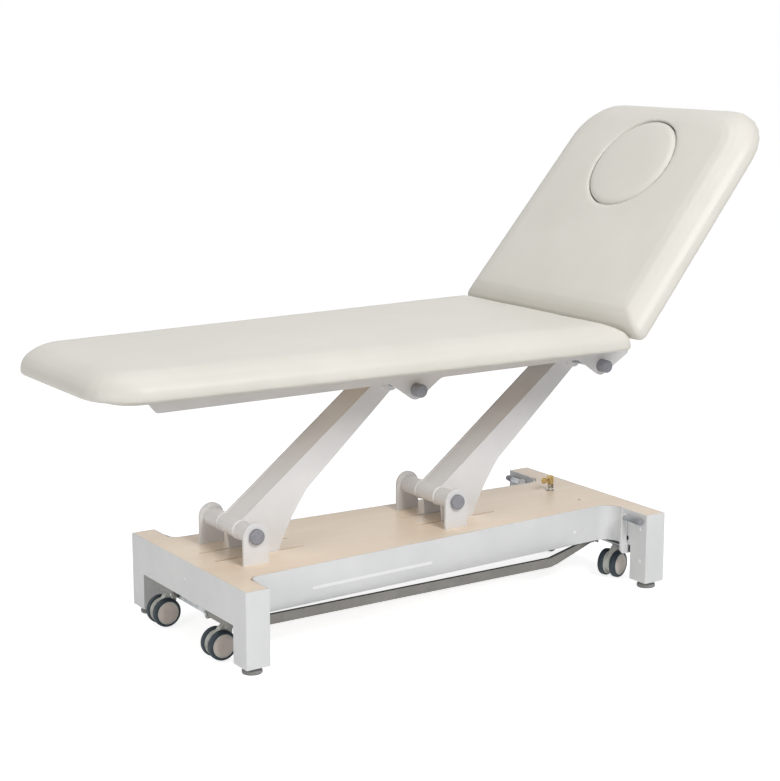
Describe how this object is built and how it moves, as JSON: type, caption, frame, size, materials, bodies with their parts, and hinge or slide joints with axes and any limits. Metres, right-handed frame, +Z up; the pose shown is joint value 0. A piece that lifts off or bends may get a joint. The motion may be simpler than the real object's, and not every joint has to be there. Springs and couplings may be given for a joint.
{
  "type": "electric examination couch",
  "caption": "Padded examination couch with tilting backrest and face plug on a parallel-arm electric lift, with a waisted base, foot switch bars and lowering castors.",
  "frame": {"origin": "middle of the overall bounding box, on the floor under the levelling feet", "axes": "+X towards the head end along the couch's length, +Y across it to the far side, +Z up"},
  "size_m": [1.8692, 0.7388, 1.2323],
  "materials": {
    "base_paint": "cool light grey powder coat",
    "arm_paint": "off-white powder coat",
    "birch": "pale laminated birch plywood",
    "vinyl": "warm off-white upholstery vinyl over foam",
    "cap_plastic": "grey moulded caps",
    "steel": "zinc-plated steel",
    "chrome": "bright plated steel",
    "dark_plastic": "dark moulded housing",
    "bar_paint": "grey-brown coat",
    "tyre_rubber": "dark slate rubber tread",
    "castor_plastic": "taupe moulded fork",
    "foot_rubber": "grey rubber pad",
    "brass": "plain brass lock body"
  },
  "bodies": {
    "base": {"base_board": "birch", "foot_end_panel": "base_paint", "head_end_panel": "base_paint", "near_apron": "base_paint", "far_apron": "base_paint", "near_chassis_rail": "steel", "far_chassis_rail": "steel", "actuator_tie": "steel", "near_foot_pivot_plate": "base_paint", "near_head_pivot_plate": "base_paint", "far_foot_pivot_plate": "base_paint", "far_head_pivot_plate": "base_paint", "near_foot_levelling_foot": "foot_rubber", "near_head_levelling_foot": "foot_rubber", "far_foot_levelling_foot": "foot_rubber", "far_head_levelling_foot": "foot_rubber", "foot_lower_shaft": "cap_plastic", "head_lower_shaft": "cap_plastic", "control_box": "dark_plastic", "actuator": "dark_plastic", "key_switch": "brass", "foot_bar_hanger_foot": "steel", "foot_bar_hanger_head": "steel"},
    "head_arm": {"head_arm": "arm_paint"},
    "foot_arm": {"foot_arm": "arm_paint"},
    "actuator_rod": {"actuator_rod": "steel"},
    "key": {"key": "steel"},
    "near_foot_bar": {"near_foot_bar": "bar_paint"},
    "far_foot_bar": {"far_foot_bar": "bar_paint"},
    "castor_lift": {"lift_shaft": "steel", "near_castor_lever": "chrome", "far_castor_lever": "chrome"},
    "foot_castor_beam": {"foot_castor_beam": "steel"},
    "head_castor_beam": {"head_castor_beam": "steel"},
    "top_frame": {"near_side_rail": "arm_paint", "far_side_rail": "arm_paint", "foot_cross_tube": "arm_paint", "head_cross_tube": "arm_paint", "leg_board": "birch", "leg_cushion": "vinyl", "foot_upper_shaft": "cap_plastic", "head_upper_shaft": "cap_plastic", "hinge_rod": "steel", "gas_cylinder": "dark_plastic"},
    "gas_rod": {"gas_rod": "steel"},
    "backrest": {"backrest_board": "birch", "backrest_cushion": "vinyl", "near_back_hinge": "arm_paint", "far_back_hinge": "arm_paint", "backrest_cross_tube": "arm_paint"},
    "face_plug": {"face_plug": "vinyl"},
    "near_foot_castor_fork": {"near_foot_castor_fork": "castor_plastic"},
    "near_foot_castor_wheels": {"near_foot_castor_wheels": "tyre_rubber"},
    "near_head_castor_fork": {"near_head_castor_fork": "castor_plastic"},
    "near_head_castor_wheels": {"near_head_castor_wheels": "tyre_rubber"},
    "far_foot_castor_fork": {"far_foot_castor_fork": "castor_plastic"},
    "far_foot_castor_wheels": {"far_foot_castor_wheels": "tyre_rubber"},
    "far_head_castor_fork": {"far_head_castor_fork": "castor_plastic"},
    "far_head_castor_wheels": {"far_head_castor_wheels": "tyre_rubber"}
  },
  "joints": [
    {"name": "lift", "type": "hinge", "parent": "base", "child": "head_arm", "pos_m": [0.09962, 0, 0.2712], "axis": [0, -1, 0], "range_deg": [-36, 26]},
    {"name": "foot_arm_swing", "type": "hinge", "parent": "base", "child": "foot_arm", "pos_m": [-0.47988, 0, 0.2712], "axis": [0, -1, 0], "range_deg": [-36, 26]},
    {"name": "top_level", "type": "hinge", "parent": "head_arm", "child": "top_frame", "pos_m": [0.51751, 0, 0.58783], "axis": [0, -1, 0], "range_deg": [-26, 36]},
    {"name": "actuator_stroke", "type": "slide", "parent": "base", "child": "actuator_rod", "axis": [1, 0, 0], "range_m": [-0.0715, 0.0518]},
    {"name": "backrest_tilt", "type": "hinge", "parent": "top_frame", "child": "backrest", "pos_m": [0.45861, 0, 0.68393], "axis": [0, -1, 0], "range_deg": [-50, 20]},
    {"name": "gas_stroke", "type": "slide", "parent": "top_frame", "child": "gas_rod", "axis": [1, 0, 0], "range_m": [-0.059, 0.0238]},
    {"name": "face_plug_lift", "type": "slide", "parent": "backrest", "child": "face_plug", "axis": [-0.766, 0, 0.6428], "range_m": [0, 0.12]},
    {"name": "near_foot_bar_press", "type": "hinge", "parent": "base", "child": "near_foot_bar", "pos_m": [0.01542, -0.091, 0.096], "axis": [1, 0, 0], "range_deg": [0, 7], "stiffness_Nm_per_rad": 30, "springref_deg": -8.59},
    {"name": "far_foot_bar_press", "type": "hinge", "parent": "base", "child": "far_foot_bar", "pos_m": [0.01542, 0.091, 0.096], "axis": [-1, 0, 0], "range_deg": [0, 7], "stiffness_Nm_per_rad": 30, "springref_deg": -8.59},
    {"name": "castor_lift_lever", "type": "hinge", "parent": "base", "child": "castor_lift", "pos_m": [0.58892, 0, 0.0965], "axis": [0, -1, 0], "range_deg": [0, 40]},
    {"name": "key_turn", "type": "hinge", "parent": "base", "child": "key", "pos_m": [0.53242, 0.053, 0.233], "axis": [1, 0, 0], "range_deg": [0, 90]},
    {"name": "foot_castor_drop", "type": "slide", "parent": "base", "child": "foot_castor_beam", "axis": [0, 0, -1], "range_m": [0, 0.0162]},
    {"name": "head_castor_drop", "type": "slide", "parent": "base", "child": "head_castor_beam", "axis": [0, 0, -1], "range_m": [0, 0.0162]},
    {"name": "near_foot_castor_swivel", "type": "hinge", "parent": "foot_castor_beam", "child": "near_foot_castor_fork", "pos_m": [-0.57758, -0.144, 0.09], "axis": [0, 0, 1], "continuous": true},
    {"name": "near_foot_wheel_spin", "type": "hinge", "parent": "near_foot_castor_fork", "child": "near_foot_castor_wheels", "pos_m": [-0.59958, -0.144, 0.0395], "axis": [0, 1, 0], "continuous": true},
    {"name": "far_foot_castor_swivel", "type": "hinge", "parent": "foot_castor_beam", "child": "far_foot_castor_fork", "pos_m": [-0.57758, 0.144, 0.09], "axis": [0, 0, 1], "continuous": true},
    {"name": "far_foot_wheel_spin", "type": "hinge", "parent": "far_foot_castor_fork", "child": "far_foot_castor_wheels", "pos_m": [-0.59958, 0.144, 0.0395], "axis": [0, 1, 0], "continuous": true},
    {"name": "near_head_castor_swivel", "type": "hinge", "parent": "head_castor_beam", "child": "near_head_castor_fork", "pos_m": [0.60842, -0.144, 0.09], "axis": [0, 0, 1], "continuous": true},
    {"name": "near_head_wheel_spin", "type": "hinge", "parent": "near_head_castor_fork", "child": "near_head_castor_wheels", "pos_m": [0.58749, -0.1508, 0.0395], "axis": [-0.309, 0.9511, 0], "continuous": true},
    {"name": "far_head_castor_swivel", "type": "hinge", "parent": "head_castor_beam", "child": "far_head_castor_fork", "pos_m": [0.60842, 0.144, 0.09], "axis": [0, 0, 1], "continuous": true},
    {"name": "far_head_wheel_spin", "type": "hinge", "parent": "far_head_castor_fork", "child": "far_head_castor_wheels", "pos_m": [0.58749, 0.1372, 0.0395], "axis": [-0.309, 0.9511, 0], "continuous": true}
  ],
  "couplings": [
    {"joint": "foot_arm_swing", "follows": "lift", "ratio": 1},
    {"joint": "top_level", "follows": "lift", "ratio": -1},
    {"joint": "actuator_stroke", "follows": "lift", "m_per_rad": 0.1129},
    {"joint": "gas_stroke", "follows": "backrest_tilt", "m_per_rad": 0.0669},
    {"joint": "foot_castor_drop", "follows": "castor_lift_lever", "m_per_rad": 0.0229},
    {"joint": "head_castor_drop", "follows": "castor_lift_lever", "m_per_rad": 0.0229}
  ]
}
